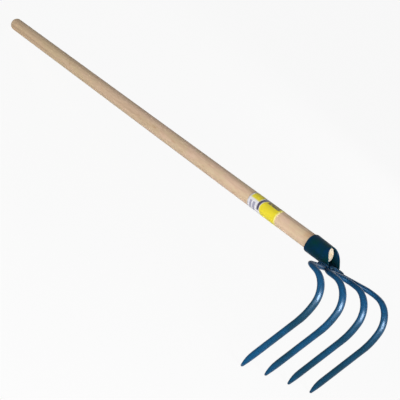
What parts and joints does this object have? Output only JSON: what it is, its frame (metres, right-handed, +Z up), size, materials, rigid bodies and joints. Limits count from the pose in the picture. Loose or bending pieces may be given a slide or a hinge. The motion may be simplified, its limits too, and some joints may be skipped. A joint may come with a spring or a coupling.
{
  "type": "fork hoe",
  "caption": "Fork hoe: bent steel tines welded under a rolled eye collar on a long round ash shaft, lying on its grip end and points.",
  "frame": {"origin": "centre of the tool's outline seen from above, on the floor it lies on", "axes": "+X along the floor from the grip end to the head, +Y across the row of tines, +Z up; the shaft rises 10.2 degrees towards the head"},
  "size_m": [1.3126, 0.2132, 0.2416],
  "materials": {
    "ash": "sanded ash, thin clear oil",
    "blue_paint": "dark blue gloss stove paint on steel",
    "paper": "plain printed sticker without words"
  },
  "bodies": {
    "root": {"shaft": "ash", "eye_collar": "blue_paint", "outer_tine_bar": "blue_paint", "inner_tine_bar": "blue_paint", "left_collar_weld": "blue_paint", "right_collar_weld": "blue_paint", "front_weld": "blue_paint", "under_weld": "blue_paint", "label": "paper"}
  },
  "joints": []
}
